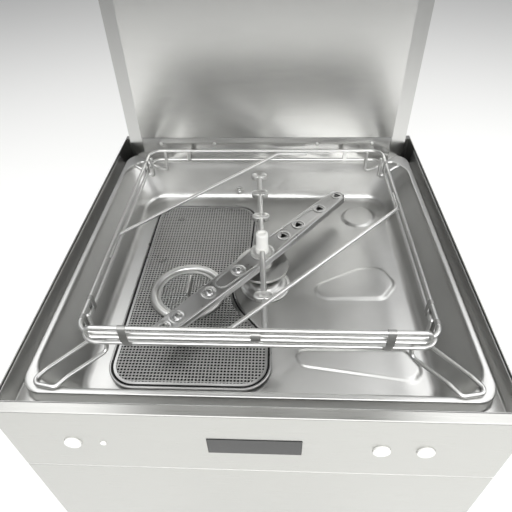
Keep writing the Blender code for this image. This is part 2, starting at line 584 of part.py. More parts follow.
add("suction_hose", wire_mesh(rounded([
    (*SUCTION, SUMP_Z - 0.0005), (*SUCTION, 0.480), (PUMP[0], 0.150, 0.440), (PUMP[0], 0.150, PUMP[2]),
    (PUMP[0], PUMP[1] + 0.0355, PUMP[2]),
], 0.040, 4, closed=False), 0.0180), RUBBER)
add("riser_pipe", wire_mesh(rounded([
    (PUMP[0], PUMP[1] + 0.002, PUMP[2] + 0.0730), (PUMP[0], PUMP[1] + 0.002, 0.470),
    (PUMP[0], 0.270, 0.470), (PIPE_X, 0.290, 0.400), (PIPE_X, PIPE_Y, 0.400), (PIPE_X, PIPE_Y, at(0.250)),
    (0.0, PIPE_Y, at(0.270)), (0.0, PIPE_Y, at(0.2996)),
], 0.016, 3, closed=False), PIPE_R - 0.002), BLACK)
rod("rinse_boiler", (-0.190, 0.200, 0.2000), (-0.190, 0.200, 0.560), 0.085, STEEL, 32)
boiler = bpy.data.objects["rinse_boiler"]
cut(boiler, rod_mesh((-0.190, 0.200, 0.2030), (-0.190, 0.200, 0.5570), 0.082, 32),
    rod_mesh((-0.190, 0.200, 0.19), (-0.190, 0.200, 0.21), 0.0350, 24))
element = rod("boiler_element", (-0.190, 0.200, 0.1900), (-0.190, 0.200, 0.2010), 0.0345, BRIGHT)
join(element, wire_mesh(rounded([
    (-0.210, 0.200, 0.199), (-0.210, 0.200, 0.470), (-0.170, 0.200, 0.470), (-0.170, 0.200, 0.199),
], 0.018, 4, closed=False), 0.0045))
drain = rod("drain_pump", (-0.180, -0.120, 0.2100), (-0.180, -0.050, 0.2100), 0.036, BLACK, 24)
join(drain, box_mesh((-0.210, -0.115, 0.1225), (-0.150, -0.060, 0.190)))
add("drain_hose", wire_mesh(rounded([
    (-0.180, -0.0495, 0.210), (-0.180, 0.030, 0.210), (-0.060, 0.090, 0.180), (-0.060, LAP - 0.002, 0.180),
], 0.025, 4, closed=False), 0.0120), RUBBER)
VALVE_Y = LAP - 0.075
valve = box("inlet_valve", (0.190, VALVE_Y, 0.200), (0.230, LAP - 0.002, 0.235), WHITE)
join(valve, rod_mesh((0.210, VALVE_Y + 0.030, 0.234), (0.210, VALVE_Y + 0.030, 0.275), 0.013, 16))
box("electrical_box", (0.210, -0.250, 0.160), (0.295, 0.010, 0.420), GREY, 0.002)
gland = rod("cable_gland", (0.240, HALF_D + 0.0005, 0.220), (0.240, HALF_D + 0.017, 0.220), 0.0125, BLACK, 6)

# ---------------------------------------------------------------- joint axes
PIVOTS = {
    "hood": (0, HOOD_BACK, HOOD_BOTTOM), "hood_handle": (0, HOOD_BACK, HOOD_BOTTOM),
    "hood_rail_left": (0, HOOD_BACK, HOOD_BOTTOM), "hood_rail_right": (0, HOOD_BACK, HOOD_BOTTOM),
    "guide_roller_left": (GAP + ROLLER_R - RAIL_IN, AXLE_Y, at(ROLLER_RISE)),
    "guide_roller_right": (RAIL_IN - GAP - ROLLER_R, AXLE_Y, at(ROLLER_RISE)),
    "lower_wash_arm": (0, 0, at(-0.074)), "lower_rinse_arm": (0, 0, at(-0.0595)), "lower_cap_nut": (0, 0, at(-0.0535)),
    "upper_wash_arm": (0, 0, at(UPPER_ARM_RISE)), "upper_rinse_arm": (0, 0, at(UPPER_ARM_RISE)),
    "upper_cap_nut": (0, 0, at(0.396)), "pump_impeller": PUMP,
    "round_filter": (*SUMP, FILTER_Z), "filter_tray": (*SUMP, FILTER_Z), "front_panel": (0, -HALF_D, 0.130),
}
for name, x in BUTTONS:
    PIVOTS[name] = (x, -HALF_D, PANEL_Z)
for name, place in PIVOTS.items():
    piece = bpy.data.objects[name]
    piece.data.transform(Matrix.Translation(-Vector(place)))
    piece.location = place
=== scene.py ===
import math

import bpy
import numpy as np
from mathutils import Matrix, Vector


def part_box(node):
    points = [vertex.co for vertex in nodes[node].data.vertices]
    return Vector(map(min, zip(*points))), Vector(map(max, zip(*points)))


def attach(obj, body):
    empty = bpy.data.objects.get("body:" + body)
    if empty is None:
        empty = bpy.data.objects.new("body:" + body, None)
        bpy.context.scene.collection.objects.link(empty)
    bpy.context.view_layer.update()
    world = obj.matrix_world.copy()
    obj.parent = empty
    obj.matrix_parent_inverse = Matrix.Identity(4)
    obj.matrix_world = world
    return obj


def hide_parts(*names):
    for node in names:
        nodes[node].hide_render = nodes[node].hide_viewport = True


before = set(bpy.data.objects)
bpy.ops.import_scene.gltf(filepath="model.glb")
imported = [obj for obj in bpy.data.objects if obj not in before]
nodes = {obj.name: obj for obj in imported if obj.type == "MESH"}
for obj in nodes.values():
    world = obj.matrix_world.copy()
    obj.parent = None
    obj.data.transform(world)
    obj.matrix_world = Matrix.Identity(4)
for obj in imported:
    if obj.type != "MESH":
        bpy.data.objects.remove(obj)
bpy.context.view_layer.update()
print("frame loaded:", len(nodes), "nodes")

# places read from the frame: the rack wires give the working height and the square that everything sits in
wireRadius = 0.003
ringLow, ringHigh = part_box("rack_frame")
rackZ = ringHigh.z - wireRadius
ringHalf = ringHigh.x - wireRadius
ringDrop = rackZ - ringLow.z - wireRadius


def at(rise):
    return rackZ + rise


# mesh helpers

def meshObject(name, points, faceSets, material, body, stands=(), sharp=38.0):
    # points is (n, 3); each face set is an (m, k) array of vertex indices; edges sharper than the angle stay crisp
    mesh = bpy.data.meshes.new(name)
    points = np.asarray(points, np.float32).reshape(-1, 3)
    mesh.vertices.add(len(points))
    mesh.vertices.foreach_set("co", points.ravel())
    corners = np.concatenate([np.asarray(faces, np.int32).ravel() for faces in faceSets])
    sizes = np.concatenate([np.full(len(faces), np.shape(faces)[1], np.int32) for faces in faceSets])
    mesh.loops.add(len(corners))
    mesh.loops.foreach_set("vertex_index", corners)
    mesh.polygons.add(len(sizes))
    mesh.polygons.foreach_set("loop_start", np.concatenate([[0], np.cumsum(sizes)[:-1]]).astype(np.int32))
    mesh.update(calc_edges=True)
    mesh.validate()
    mesh.polygons.foreach_set("use_smooth", np.ones(len(mesh.polygons), bool))
    mesh.set_sharp_from_angle(angle=math.radians(sharp))
    mesh.materials.append(material)
    piece = bpy.data.objects.new(name, mesh)
    bpy.context.scene.collection.objects.link(piece)
    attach(piece, body)
    if stands:
        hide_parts(*stands)
    return piece


def gridFaces(rows, columns, closeRows=False, closeColumns=False):
    # quads of a rows x columns sheet of vertices, numbered row by row
    i = np.arange(rows if closeRows else rows - 1)
    j = np.arange(columns if closeColumns else columns - 1)
    i, j = np.meshgrid(i, j, indexing="ij")
    nextI, nextJ = (i + 1) % rows, (j + 1) % columns
    quads = np.stack([i * columns + j, i * columns + nextJ, nextI * columns + nextJ, nextI * columns + j], -1)
    return quads.reshape(-1, 4)


def ringGrid(rows, columns):
    # sides and both end faces of a solid whose points are rings, one ring a row
    ends = [np.arange(columns)[None, ::-1], (rows - 1) * columns + np.arange(columns)[None]]
    return [gridFaces(rows, columns, False, True)] + ends


def upsideDown(points, faceSets):
    # mirrored top to bottom, with every face turned so that it still points out
    return points * (1, 1, -1), [np.asarray(faces)[:, ::-1] for faces in faceSets]


def joinParts(parts):
    # several (points, face sets) made one, with the later faces renumbered
    points, faceSets, start = [], [], 0
    for partPoints, partFaces in parts:
        partPoints = np.asarray(partPoints, float).reshape(-1, 3)
        points.append(partPoints)
        faceSets += [np.asarray(faces) + start for faces in partFaces]
        start += len(partPoints)
    return np.concatenate(points), faceSets


def roundedPath(corners, radius, steps=8, closed=True):
    # each corner becomes an arc tangent to its two sides
    corners = np.asarray(corners, float)
    count, path = len(corners), []
    for i, corner in enumerate(corners):
        if not closed and i in (0, count - 1):
            path.append(corner)
            continue
        before, after = corners[i - 1] - corner, corners[(i + 1) % count] - corner
        before, after = before / np.linalg.norm(before), after / np.linalg.norm(after)
        half = math.acos(np.clip(before @ after, -1, 1)) / 2
        centre = corner + (before + after) / np.linalg.norm(before + after) * radius / math.sin(half)
        start = corner + before * radius / math.tan(half) - centre
        end = corner + after * radius / math.tan(half) - centre
        swing = math.pi - 2 * half
        t = np.linspace(0, 1, steps + 1)[:, None]
        path.extend(centre + (start * np.sin((1 - t) * swing) + end * np.sin(t * swing)) / math.sin(swing))
    return np.array(path)


def pathFrames(path, closed):
    # tangent, side and up at each path point; the side is carried along with the least twist
    ahead = np.roll(path, -1, 0) - path
    if not closed:
        ahead[-1] = ahead[-2]
    ahead /= np.linalg.norm(ahead, axis=1)[:, None]
    tangent = ahead + np.roll(ahead, 1, 0)
    if not closed:
        tangent[0], tangent[-1] = ahead[0], ahead[-1]
    tangent /= np.linalg.norm(tangent, axis=1)[:, None]
    seed = np.array([0, 0, 1.0]) if abs(tangent[0][2]) < 0.9 else np.array([1.0, 0, 0])
    side = np.cross(tangent[0], seed)
    sides = []
    for direction in tangent:
        side = side - direction * (side @ direction)
        side = side / np.linalg.norm(side)
        sides.append(side)
    sides = np.array(sides)
    return tangent, sides, np.cross(tangent, sides)


def tube(path, radius, closed=False, sides=14):
    # circle of this radius carried along the path; open ends are domed by three shrinking rings
    path = np.asarray(path, float)
    tangent, side, up = pathFrames(path, closed)
    radii = np.full(len(path), float(radius)) if np.isscalar(radius) else np.asarray(radius, float)
    if not closed:
        shrink = np.array([0.0, 0.5, 0.866])
        reach = np.array([0.5, 0.433, 0.25])
        head = path[0] - tangent[0] * (reach * radii[0])[:, None]
        tail = path[-1] + tangent[-1] * (reach[::-1] * radii[-1])[:, None]
        path = np.concatenate([head, path, tail])
        radii = np.concatenate([shrink * radii[0], radii, shrink[::-1] * radii[-1]])
        side = np.concatenate([np.repeat(side[:1], 3, 0), side, np.repeat(side[-1:], 3, 0)])
        up = np.concatenate([np.repeat(up[:1], 3, 0), up, np.repeat(up[-1:], 3, 0)])
        radii[0] = radii[-1] = 1e-5
    turn = np.linspace(0, 2 * math.pi, sides, endpoint=False)
    ring = side[:, None] * np.cos(turn)[None, :, None] + up[:, None] * np.sin(turn)[None, :, None]
    points = path[:, None] + ring * radii[:, None, None]
    faces = [gridFaces(len(path), sides, True, True)] if closed else ringGrid(len(path), sides)
    return points.reshape(-1, 3), faces


def ribbon(path, across, width, thickness):
    # flat strip: a thin rectangle carried along the path, wide in the across direction
    path, across = np.asarray(path, float), np.asarray(across, float)
    tangent = pathFrames(path, False)[0]
    out = np.cross(tangent, across)
    edge = np.array([[-1, -1], [1, -1], [1, 1], [-1, 1]]) / 2
    points = (path[:, None] + across[None, None] * (edge[None, :, :1] * width)
              + out[:, None] * (edge[None, :, 1:] * thickness))
    return points.reshape(-1, 3), ringGrid(len(path), 4)


def revolve(profile, centre, sides=64):
    # radius-height pairs, outside going up, turned about a vertical axis
    profile = np.asarray(profile, float)
    turn = np.linspace(0, 2 * math.pi, sides, endpoint=False)
    reach = np.maximum(profile[:, 0], 1e-5)
    points = np.stack([
        centre[0] + reach[:, None] * np.cos(turn)[None],
        centre[1] + reach[:, None] * np.sin(turn)[None],
        np.repeat(profile[:, 1:], sides, 1),
    ], -1)
    return points.reshape(-1, 3), ringGrid(len(profile), sides)


def softened(profile, rounds=2):
    # corner cutting: every bend of a profile gives way to two points a quarter in from it
    profile = np.asarray(profile, float)
    for _ in range(rounds):
        near, far = profile[:-1] * 0.75 + profile[1:] * 0.25, profile[:-1] * 0.25 + profile[1:] * 0.75
        inner = np.stack([near, far], 1).reshape(-1, profile.shape[1])
        profile = np.concatenate([profile[:1], inner[1:-1], profile[-1:]])
    return profile


def roundedLoop(halfX, front, back, radius, perSide, perCorner):
    # counter-clockwise rounded rectangle, the same count of points whatever its size;
    # perSide is one count, or four for the right, back, left and front
    perSide = np.broadcast_to(perSide, 4)
    centres = [(halfX - radius, front + radius), (halfX - radius, back - radius),
               (radius - halfX, back - radius), (radius - halfX, front + radius)]
    loop = []
    for k, (x, y) in enumerate(centres):
        turn = math.radians(-90 + 90 * k) + np.linspace(0, math.pi / 2, perCorner)
        arc = np.stack([x + radius * np.cos(turn), y + radius * np.sin(turn)], -1)
        x2, y2 = centres[(k + 1) % 4]
        start = math.radians(90 * k)
        ahead = np.array([x2 + radius * math.cos(start), y2 + radius * math.sin(start)])
        t = np.linspace(0, 1, perSide[k] + 2)[1:-1, None]
        loop += [arc, arc[-1] * (1 - t) + ahead * t]
    return np.concatenate(loop)


def boxPart(low, high, bevel=0.001):
    # block with its edges cut back: three rounded loops up its height
    low, high = np.asarray(low, float), np.asarray(high, float)
    middle, half = (low + high) / 2, (high - low) / 2
    bevel = min(bevel, half.min() * 0.45)
    levels = [(bevel, low[2]), (0.3 * bevel, low[2] + 0.3 * bevel), (0, low[2] + bevel),
              (0, high[2] - bevel), (0.3 * bevel, high[2] - 0.3 * bevel), (bevel, high[2])]
    rings = []
    for pull, z in levels:
        corner = max(bevel * 1.01 - pull, 1e-5)
        loop = roundedLoop(half[0] - pull, -half[1] + pull, half[1] - pull, corner, 1, 4) + middle[:2]
        rings.append(np.column_stack([loop, np.full(len(loop), z)]))
    return np.concatenate(rings), ringGrid(len(rings), len(rings[0]))


def turned(points, angle):
    # turn about the vertical axis through the middle of the machine
    points = np.asarray(points, float)
    c, s = math.cos(angle), math.sin(angle)
    spun = points.copy()
    spun[..., 0] = points[..., 0] * c - points[..., 1] * s
    spun[..., 1] = points[..., 0] * s + points[..., 1] * c
    return spun


def outlineDistance(points, outline):
    # distance from each point to a closed outline, negative inside
    start, end = outline, np.roll(outline, -1, 0)
    along = end - start
    best = np.full(len(points), 1e9)
    crossings = np.zeros(len(points), int)
    for a, b, d in zip(start, end, along):
        t = np.clip(((points - a) @ d) / max(d @ d, 1e-18), 0, 1)
        best = np.minimum(best, np.linalg.norm(points - a - t[:, None] * d, axis=1))
        spans = (a[1] > points[:, 1]) != (b[1] > points[:, 1])
        level = a[0] + (points[:, 1] - a[1]) * d[0] / (d[1] if abs(d[1]) > 1e-12 else 1e-12)
        crossings += spans & (points[:, 0] < level)
    return np.where(crossings % 2 == 1, -best, best)


def arcPoints(centre, radius, start, end, steps):
    # points on a circle between two angles in degrees, both ends included
    turn = np.radians(np.linspace(start, end, steps + 1))
    return np.stack([centre[0] + radius * np.cos(turn), centre[1] + radius * np.sin(turn)], -1)


# materials

def hexColor(code):
    # sRGB hex to the linear values that the shader wants
    parts = [int(code[i:i + 2], 16) / 255 for i in (1, 3, 5)]
    return (*[c / 12.92 if c <= 0.04045 else ((c + 0.055) / 1.055) ** 2.4 for c in parts], 1.0)


def addNode(tree, kind, values=None, links=None, **settings):
    node = tree.nodes.new(kind)
    for key, value in settings.items():
        setattr(node, key, value)
    for key, value in (values or {}).items():
        node.inputs[key].default_value = value
    for key, socket in (links or {}).items():
        tree.links.new(socket, node.inputs[key])
    return node


def startMaterial(name, color, metallic, roughness):
    made = bpy.data.materials.new(name)
    made.use_nodes = True
    shader = made.node_tree.nodes["Principled BSDF"]
    shader.inputs["Base Color"].default_value = hexColor(color)
    shader.inputs["Metallic"].default_value = metallic
    shader.inputs["Roughness"].default_value = roughness
    return made, made.node_tree, shader


def steelSheet(name, color, dark, roughness, grain, waves=0.0, spread=0.03, relief=0.000003):
    # stainless sheet: grain is the streak length in mm along X, Y, Z, equal for a rolled finish and one long for
    # a brushed one; spread is how much the streaks change the roughness, relief how high they stand in metres,
    # and waves the height of a pressing's slow dents
    made, tree, shader = startMaterial(name, color, 1.0, roughness)
    place = addNode(tree, "ShaderNodeTexCoord").outputs["Object"]
    scale = addNode(tree, "ShaderNodeMapping", {"Scale": tuple(1000 / g for g in grain)}, {"Vector": place})
    streaks = addNode(tree, "ShaderNodeTexNoise", {"Scale": 1.0, "Detail": 3.0, "Roughness": 0.6},
                      {"Vector": scale.outputs[0]}).outputs["Fac"]
    span = {"From Min": 0.3, "From Max": 0.7, "To Min": roughness - spread, "To Max": roughness + spread}
    rough = addNode(tree, "ShaderNodeMapRange", span, {"Value": streaks})
    tree.links.new(rough.outputs[0], shader.inputs["Roughness"])
    tint = addNode(tree, "ShaderNodeMix", {"A": hexColor(dark), "B": hexColor(color)}, {"Factor": streaks},
                   data_type="RGBA")
    tree.links.new(tint.outputs["Result"], shader.inputs["Base Color"])
    bump = addNode(tree, "ShaderNodeBump", {"Strength": 0.15, "Distance": relief}, {"Height": streaks})
    if waves:
        slow = addNode(tree, "ShaderNodeTexNoise", {"Scale": 7.0, "Detail": 0.0}, {"Vector": place})
        bump = addNode(tree, "ShaderNodeBump", {"Strength": 0.5, "Distance": waves},
                       {"Height": slow.outputs["Fac"], "Normal": bump.outputs[0]})
    if waves or relief:
        tree.links.new(bump.outputs[0], shader.inputs["Normal"])
    return made


def moulded(name, color, roughness, texture=0.4):
    # injection-moulded plastic: fine spark-eroded texture of the given grain in mm, slight change of gloss
    made, tree, shader = startMaterial(name, color, 0.0, roughness)
    place = addNode(tree, "ShaderNodeTexCoord")
    grain = addNode(tree, "ShaderNodeTexNoise", {"Scale": 1000 / texture, "Detail": 2.0},
                    {"Vector": place.outputs["Object"]})
    rough = addNode(tree, "ShaderNodeMapRange", {"To Min": roughness - 0.08, "To Max": roughness + 0.08},
                    {"Value": grain.outputs["Fac"]})
    bump = addNode(tree, "ShaderNodeBump", {"Strength": 0.25, "Distance": 0.00005}, {"Height": grain.outputs["Fac"]})
    tree.links.new(rough.outputs[0], shader.inputs["Roughness"])
    tree.links.new(bump.outputs[0], shader.inputs["Normal"])
    return made


drawnSteel = steelSheet("deepDrawnStainless2B", "#cfcfcd", "#c4c4c2", 0.36, (40, 40, 40), waves=0.0007)
polishedWall = steelSheet("polishedStainlessWall", "#cfcfcd", "#c4c4c2", 0.24, (60, 9, 9), waves=0.0006)
brushedOuter = steelSheet("brushedStainlessPanel", "#bfbfbc", "#acaca9", 0.34, (0.6, 0.6, 90),
                          spread=0.06, relief=0.00001)
brushedAcross = steelSheet("brushedStainlessAcross", "#bfbfbc", "#acaca9", 0.32, (90, 0.6, 0.6),
                           spread=0.06, relief=0.00001)
brightWire = steelSheet("electropolishedWire", "#dcdcda", "#d4d4d2", 0.36, (12, 12, 12), relief=0.0)
armSteel = steelSheet("pressedArmStainless", "#bababa", "#aeaeac", 0.30, (25, 25, 25), waves=0.0004)
strapSteel = steelSheet("satinStrapStainless", "#b2b2b0", "#a8a8a6", 0.5, (3, 3, 3), relief=0.0)
perforatedSteel = steelSheet("perforatedStainless", "#b4b4b2", "#a6a6a4", 0.30, (30, 30, 30))
whiteAcetal = moulded("whiteAcetal", "#eeeeea", 0.42)
blackNylon = moulded("blackNylon", "#17181a", 0.5)
greyAbs = moulded("greyAbs", "#6a6d70", 0.5)
hoseRubber = moulded("epdmHose", "#1b1b1b", 0.7, 0.8)
motorPaint = moulded("motorEnamel", "#39424f", 0.4, 1.0)
boardGreen = moulded("solderMask", "#1d5a35", 0.4)
displayGlass = moulded("smokedAcrylic", "#08090b", 0.12)
# flat black that stands in for shade: painted shade on the sheet under the tray and in the groove round its frame
paintedShade = moulded("shadowedBore", "#0b0b0b", 0.8)
print("materials made")


# pressed tank: bowl, filter sump, bosses, ridge, gutter and rim

tankSizes = {
    "sheet": 0.0012,
    "bossHeight": 0.0030,
    "bossSlope": 0.0042,
    "sumpRadius": 0.0608,
    "side": (132, 96, 22, 96),
    "perCorner": 22,
    "floorRows": 118,
    "rivets": (-0.222, -0.108, 0.108, 0.222),
}


def bossRise(points):
    # each boss is a rounded plateau: its height times a smooth step of how far a point lies inside the outline
    outlines = [
        roundedPath([(0.150, 0.176), (0.204, 0.226), (0.248, 0.184), (0.196, 0.126)], 0.034, 10),
        roundedPath([(0.082, -0.034), (0.106, -0.064), (0.214, -0.062), (0.244, -0.022), (0.222, 0.024),
                     (0.176, 0.016)], 0.0245, 10),
        roundedPath([(0.042, -0.170), (0.230, -0.166), (0.252, -0.206), (0.232, -0.228), (0.066, -0.204)], 0.017, 10),
    ]
    rise = np.zeros(len(points))
    for outline in outlines:
        inside = np.clip(-outlineDistance(points, outline) / tankSizes["bossSlope"], 0, 1)
        rise = np.maximum(rise, inside * inside * (3 - 2 * inside))
    return rise * tankSizes["bossHeight"]


def pressedTank():
    # closed grid of rounded loops: up the outside from under the sump to the rim, over it, in over gutter and ridge,
    # down the wall, and over the floor, whose loops shrink evenly onto the sump's circle
    low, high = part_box("wash_tank")
    filterLow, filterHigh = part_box("round_filter")
    sump = np.array([(filterLow.x + filterHigh.x) / 2, (filterLow.y + filterHigh.y) / 2])
    halfX, front, back = high.x, low.y, high.y
    rim, gutter, crest, floor = at(-0.0235), at(-0.0600), at(-0.0360), at(-0.1230)
    wallX, wallFront, wallBack = 0.2955, -0.3000, 0.2620
    thick = tankSizes["sheet"]
    outside = np.array([
        (0.2520, -0.2690, 0.2310, 0.034, floor - thick), (0.2620, -0.2790, 0.2420, 0.044, floor - thick + 0.0030),
        (0.2712, -0.2868, 0.2503, 0.050, at(-0.105)), (0.2968, -0.3012, 0.2630, 0.050, gutter - 0.0030),
        (0.2990, -0.3035, 0.2660, 0.050, gutter - 0.0016),
        (halfX - 0.002, front + 0.002, back - 0.001, 0.007, gutter - 0.0016),
    ])
    section = softened([
        (halfX, front, back, 0.008, gutter - 0.001), (halfX, front, back, 0.008, at(-0.0245)),
        (halfX - 0.0005, front + 0.0005, back, 0.008, rim), (halfX - 0.0016, front + 0.0016, back, 0.007, rim - 0.0004),
        (halfX - 0.0018, front + 0.0018, back, 0.007, at(-0.030)),
        (halfX - 0.0020, front + 0.0020, back, 0.007, at(-0.056)),
        (halfX - 0.0024, front + 0.0024, back - 0.001, 0.007, gutter),
        (halfX - 0.0060, front + 0.006, back - 0.002, 0.008, gutter),
        (0.3085, -0.3130, 0.2905, 0.030, gutter), (0.3052, -0.3097, 0.2892, 0.030, gutter),
        (0.3050, -0.3095, 0.2890, 0.030, gutter + 0.004), (0.3049, -0.3094, 0.2889, 0.030, crest - 0.004),
        (0.3046, -0.3091, 0.2886, 0.030, crest), (0.3010, -0.3055, 0.2850, 0.034, crest + 0.0003),
        (0.2975, -0.3020, 0.2640, 0.047, crest), (wallX, wallFront, wallBack, 0.050, crest - 0.001),
        (wallX, wallFront, wallBack, 0.050, crest - 0.006),
        (0.2890, -0.2960, 0.2582, 0.050, at(-0.056)), (0.2775, -0.2905, 0.2540, 0.050, at(-0.080)),
        (0.2685, -0.2845, 0.2482, 0.050, at(-0.105)), (0.2660, -0.2822, 0.2458, 0.047, at(-0.113)),
        (0.2625, -0.2792, 0.2424, 0.044, at(-0.1190)), (0.2575, -0.2745, 0.2370, 0.039, at(-0.1220)),
        (0.2520, -0.2690, 0.2310, 0.034, floor),
    ], 2)
    loops = []
    for half, y0, y1, radius, z in np.concatenate([outside, section]):
        loop = roundedLoop(half, y0, y1, radius, tankSizes["side"], tankSizes["perCorner"])
        loops.append(np.column_stack([loop, np.full(len(loop), z)]))
    loops = np.array(loops)
    # the gutter runs out open to the rear, so that the hood's sides pass
    rimRows = np.arange(len(loops)) < len(outside) + np.argmax(section[:, 0] < 0.3120)
    outer = rimRows[:, None] & (loops[..., 1] > 0.285)
    lowered = np.minimum(loops[..., 2], gutter + (0.2880 - np.clip(loops[..., 1], 0, 0.2880)) * 6)
    loops[..., 2] = np.where(outer, lowered, loops[..., 2])
    foot = loops[-1]
    toward = foot[:, :2] - sump
    spoke = toward / np.linalg.norm(toward, axis=1)[:, None]
    circle = sump + spoke * tankSizes["sumpRadius"]
    t = np.linspace(0, 1, tankSizes["floorRows"] + 1)[1:, None, None]
    floorXY = foot[None, :, :2] * (1 - t) + circle[None] * t
    floorZ = floor + bossRise(floorXY.reshape(-1, 2)).reshape(floorXY.shape[:2])
    floorLoops = np.concatenate([floorXY, floorZ[..., None]], -1)
    deep = low.z + 0.0015
    inside = [(1.0, floor - 0.0015), (0.985, floor - 0.005), (0.985, deep + 0.004), (0.95, deep), (0.30, deep),
              (0.005, deep)]
    outsideSump = [(0.005, low.z), (0.96, low.z), (1.01, low.z + 0.002), (1.015, low.z + 0.005),
                   (1.015, floor - 0.006), (1.03, floor - thick)]
    sumpLoops, sumpOuter = (np.stack([
        np.column_stack([sump + spoke * tankSizes["sumpRadius"] * scale, np.full(len(spoke), z)]) for scale, z in well])
        for well in (inside, outsideSump))
    rows = np.concatenate([sumpOuter, loops, floorLoops, sumpLoops])
    meshObject("pressedTank", rows, ringGrid(*rows.shape[:2]), drawnSteel, "cabinet", ("wash_tank",), 50)
    backLow = (-0.2600, 0.2622, at(-0.050))
    backHigh = (0.2600, 0.2637, at(0.018))
    meshObject("tankBack", *boxPart(backLow, backHigh, 0.0004), polishedWall, "cabinet")
    head = [(0.0001, -0.001), (0.0038, -0.001), (0.0038, 0.0002), (0.0028, 0.0013), (0.0001, 0.0016)]
    points, faces = revolve(softened(head, 2), (0, 0), 20)
    placed = [(np.stack([points[:, 0] + x, 0.2621 - points[:, 2], points[:, 1] + at(0.004)], -1), faces)
              for x in tankSizes["rivets"]]
    meshObject("tankRivets", *joinParts(placed), brightWire, "cabinet")


pressedTank()
print("tank made")


# perforated sheet, used for the tray and the round filter

perforation = {"pitch": 0.0053, "hole": 0.0020, "sheet": 0.0010}


def perforatedFaces(centres, pitch, hole):
    # square cells in a plane, each with an eight-sided hole; cells share their corners once equal points are merged
    count = len(centres)
    corner = np.radians(np.arange(4) * 90 + 45)
    rim = np.radians(np.arange(8) * 45 + 22.5)
    square = np.stack([np.cos(corner), np.sin(corner)], -1) * pitch / math.sqrt(2)
    circle = np.stack([np.cos(rim), np.sin(rim)], -1) * hole
    points = np.concatenate([centres[:, None] + square[None], centres[:, None] + circle[None]], 1)
    start = np.arange(count)[:, None, None] * 12
    k = np.arange(4)
    following = (k + 1) % 4
    # hole point 2k sits just before corner k and 2k+1 just after it
    wedges = np.stack([k, 4 + 2 * k + 1, 4 + 2 * k], -1)
    plates = np.stack([k, following, 4 + 2 * following, 4 + 2 * k + 1], -1)
    return points.reshape(-1, 2), (wedges[None] + start).reshape(-1, 3), (plates[None] + start).reshape(-1, 4)


def mergedPoints(points, faceSets):
    # points closer than a thousandth of a millimetre become one
    keys = np.round(points * 1e6).astype(np.int64)
    _, first, index = np.unique(keys, axis=0, return_index=True, return_inverse=True)
    return points[first], [index.reshape(-1)[faces] for faces in faceSets]


def gridCentres(lowX, lowY, highX, highY, pitch):
    # hole centres at even steps from the low corner
    columns, rows = np.arange(int((highX - lowX) / pitch) + 1), np.arange(int((highY - lowY) / pitch) + 1)
    i, j = np.meshgrid(columns, rows, indexing="ij")
    return np.stack([lowX + i * pitch, lowY + j * pitch], -1).reshape(-1, 2)


def trayOutline():
    return np.concatenate([
        arcPoints((-0.186, -0.205), 0.045, 180, 270, 12), arcPoints((-0.025, -0.205), 0.045, 270, 360, 12),
        roundedPath([(0.020, -0.200), (0.020, -0.160), (0.000, -0.122)], 0.02, 6, False)[1:-1],
        arcPoints((0.065, -0.031), 0.114, 222, 138, 24),
        arcPoints((-0.060, 0.162), 0.045, 12, 90, 12), arcPoints((-0.186, 0.162), 0.045, 90, 180, 12)])


def carriedBand(path, section, base):
    # the section's first number is the reach outward from the path, its second the height
    section = np.array(section, float)
    ahead = np.roll(path, -1, 0) - np.roll(path, 1, 0)
    ahead /= np.linalg.norm(ahead, axis=1)[:, None]
    outward = np.stack([ahead[:, 1], -ahead[:, 0]], -1)
    points = path[:, None] + outward[:, None] * section[None, :, :1]
    heights = np.broadcast_to(base + section[:, 1], points.shape[:2])
    rings = np.concatenate([points, heights[..., None]], -1)
    return rings.reshape(-1, 3), [gridFaces(len(path), len(section), True, True)[:, ::-1]]


def perforatedTray():
    low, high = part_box("filter_tray")
    filterLow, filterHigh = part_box("round_filter")
    sump = np.array([(filterLow.x + filterHigh.x) / 2, (filterLow.y + filterHigh.y) / 2])
    outline = trayOutline()
    centres = gridCentres(low.x, low.y, high.x, high.y, perforation["pitch"])
    keep = (outlineDistance(centres, outline) < -0.0094) & (np.linalg.norm(centres - sump, axis=1) > 0.0655)
    flat, wedges, plates = perforatedFaces(centres[keep], perforation["pitch"], perforation["hole"])
    points, faceSets = mergedPoints(np.column_stack([flat, np.full(len(flat), low.z + 0.0014)]), [wedges, plates])
    sheet = meshObject("trayMesh", points, faceSets, perforatedSteel, "filter_tray", ("filter_tray",))
    skin = sheet.modifiers.new("sheet", "SOLIDIFY")
    skin.thickness = perforation["sheet"]
    skin.offset = -1
    # painted shade under the sheet: the same cells without holes, just below it, in flat black for the unlit space
    square = np.array([(-1, -1), (1, -1), (1, 1), (-1, 1)]) * perforation["pitch"] / 2
    cells = (centres[keep][:, None] + square[None]).reshape(-1, 2)
    under = np.column_stack([cells, np.full(len(cells), low.z + 0.0014 - perforation["sheet"] - 0.0006)])
    points, faceSets = mergedPoints(under, [np.arange(len(cells)).reshape(-1, 4)])
    meshObject("trayShade", points, faceSets, paintedShade, "filter_tray")
    # frame: bands carried round the outline, a bead, a groove painted flat black as shade, and a flat; and a flat band
    # round the opening
    opening = arcPoints(sump, 0.0640, 0, 360, 96)[:-1]
    bead = [(0, 0), (0, 0.0016), (-0.0006, 0.0023), (-0.0018, 0.0026), (-0.0030, 0.0022), (-0.0036, 0.0008),
            (-0.0036, 0)]
    groove = [(-0.0030, -0.0004), (-0.0030, 0.0002), (-0.0072, 0.0002), (-0.0072, -0.0004)]
    flatBand = [(-0.0066, 0), (-0.0066, 0.0017), (-0.0105, 0.0017), (-0.0105, 0)]
    lip = [(0.0031, 0.0), (0.0031, 0.0017), (-0.0025, 0.0017), (-0.0031, 0.0012), (-0.0031, 0.0)]
    bands = ((outline, bead), (outline, flatBand), (opening, lip))
    metal = joinParts([carriedBand(path, section, low.z) for path, section in bands])
    meshObject("trayFrame", *metal, armSteel, "filter_tray")
    # the groove band is painted shade: flat black in the gap between the frame's bead and the sheet
    meshObject("trayGroove", *carriedBand(outline, groove, low.z), paintedShade, "filter_tray")


